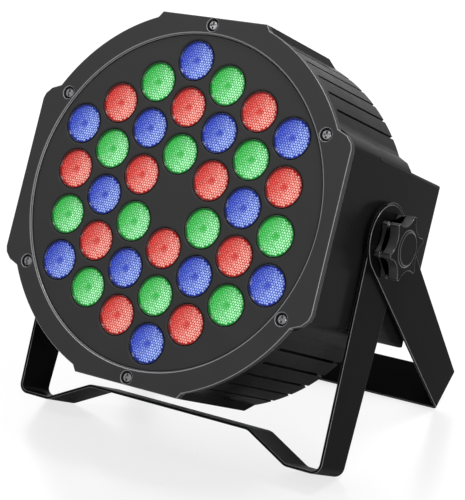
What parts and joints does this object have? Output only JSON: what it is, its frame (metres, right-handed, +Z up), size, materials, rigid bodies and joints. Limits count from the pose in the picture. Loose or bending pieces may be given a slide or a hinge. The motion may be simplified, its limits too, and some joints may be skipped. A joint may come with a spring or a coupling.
{
  "type": "par can light",
  "caption": "Flat LED par light: square head with a round panel of red, green and blue lenses, grooved corners, two folding brackets and clamp knobs.",
  "frame": {"origin": "on the floor under the middle of the light, half way from the bezel's lower edge to the rear bracket's heel", "axes": "+Z up, the lenses face -Y and tilt up, +X to the right as seen from in front"},
  "size_m": [0.213, 0.166, 0.2132],
  "materials": {
    "charcoal_plastic": "fine matte grain",
    "panel_plastic": "satin",
    "black_plastic": "satin",
    "knob_plastic": "satin",
    "red_lens": "frosted",
    "green_lens": "frosted",
    "blue_lens": "frosted",
    "chip_resin": "gloss",
    "white_board": "solder mask",
    "green_board": "solder mask",
    "component_plastic": "satin",
    "bare_aluminium": "as extruded",
    "bright_steel": "nickel plated",
    "dark_steel": "black oxide",
    "zinc_steel": "zinc plated",
    "brass": "turned",
    "nickel_brass": "nickel plated",
    "digit_plastic": "gloss",
    "dark_red_window": "gloss",
    "button_rubber": "matte",
    "black_paint": "satin powder coat"
  },
  "bodies": {
    "head": {"bezel": "charcoal_plastic", "bezel_screws": "bright_steel", "lens_panel": "panel_plastic", "lenses_red": "red_lens", "lenses_green": "green_lens", "lenses_blue": "blue_lens", "lens_cups": "black_plastic", "led_chips": "chip_resin", "led_board": "white_board", "heat_sink": "bare_aluminium", "heat_sink_screws": "bright_steel", "housing": "black_plastic", "thread_inserts": "brass", "driver_board": "green_board", "driver_parts": "component_plastic", "driver_screws": "bright_steel", "fan_frame": "black_plastic", "fan_screws": "dark_steel", "control_board": "green_board", "control_screws": "bright_steel", "display_digits": "digit_plastic", "display_window": "dark_red_window", "button_switches": "component_plastic", "microphone": "zinc_steel", "power_inlet": "black_plastic", "power_inlet_blades": "nickel_brass", "data_in_socket": "black_plastic", "data_in_pins": "nickel_brass", "data_out_socket": "black_plastic", "data_out_latch": "zinc_steel", "socket_screws": "dark_steel"},
    "front_bracket": {"front_bracket": "black_paint"},
    "rear_bracket": {"rear_bracket": "black_paint"},
    "washer_left": {"washer_left": "zinc_steel"},
    "washer_right": {"washer_right": "zinc_steel"},
    "knob_left": {"knob_left": "knob_plastic", "stud_left": "zinc_steel"},
    "knob_right": {"knob_right": "knob_plastic", "stud_right": "zinc_steel"},
    "fan_rotor": {"fan_rotor": "black_plastic"},
    "menu_button": {"menu_button": "button_rubber"},
    "down_button": {"down_button": "button_rubber"},
    "up_button": {"up_button": "button_rubber"},
    "enter_button": {"enter_button": "button_rubber"}
  },
  "joints": [
    {"name": "front_bracket_swing", "type": "hinge", "parent": "head", "child": "front_bracket", "pos_m": [0, 0.00849, 0.10916], "axis": [1, 0, 0], "range_deg": [-13, 200]},
    {"name": "rear_bracket_swing", "type": "hinge", "parent": "head", "child": "rear_bracket", "pos_m": [0, 0.00849, 0.10916], "axis": [1, 0, 0], "continuous": true},
    {"name": "washer_left_slide", "type": "slide", "parent": "head", "child": "washer_left", "axis": [-1, 0, 0], "range_m": [0, 0.0025]},
    {"name": "knob_left_turn", "type": "hinge", "parent": "washer_left", "child": "knob_left", "pos_m": [0, 0.00849, 0.10916], "axis": [-1, 0, 0], "range_deg": [0, 720]},
    {"name": "washer_right_slide", "type": "slide", "parent": "head", "child": "washer_right", "axis": [1, 0, 0], "range_m": [0, 0.0025]},
    {"name": "knob_right_turn", "type": "hinge", "parent": "washer_right", "child": "knob_right", "pos_m": [0, 0.00849, 0.10916], "axis": [1, 0, 0], "range_deg": [0, 720]},
    {"name": "fan_spin", "type": "hinge", "parent": "head", "child": "fan_rotor", "pos_m": [0, 0.04566, 0.08629], "axis": [0, 0.891, -0.454], "continuous": true},
    {"name": "menu_button_press", "type": "slide", "parent": "head", "child": "menu_button", "axis": [0, -0.891, 0.454], "range_m": [0, 0.0003], "stiffness_N_per_m": 1000, "springref_m": -0.0003},
    {"name": "down_button_press", "type": "slide", "parent": "head", "child": "down_button", "axis": [0, -0.891, 0.454], "range_m": [0, 0.0003], "stiffness_N_per_m": 1000, "springref_m": -0.0003},
    {"name": "up_button_press", "type": "slide", "parent": "head", "child": "up_button", "axis": [0, -0.891, 0.454], "range_m": [0, 0.0003], "stiffness_N_per_m": 1000, "springref_m": -0.0003},
    {"name": "enter_button_press", "type": "slide", "parent": "head", "child": "enter_button", "axis": [0, -0.891, 0.454], "range_m": [0, 0.0003], "stiffness_N_per_m": 1000, "springref_m": -0.0003}
  ],
  "couplings": [
    {"joint": "knob_left_turn", "follows": "washer_left_slide", "rad_per_m": 5026.5},
    {"joint": "knob_right_turn", "follows": "washer_right_slide", "rad_per_m": 5026.5}
  ]
}
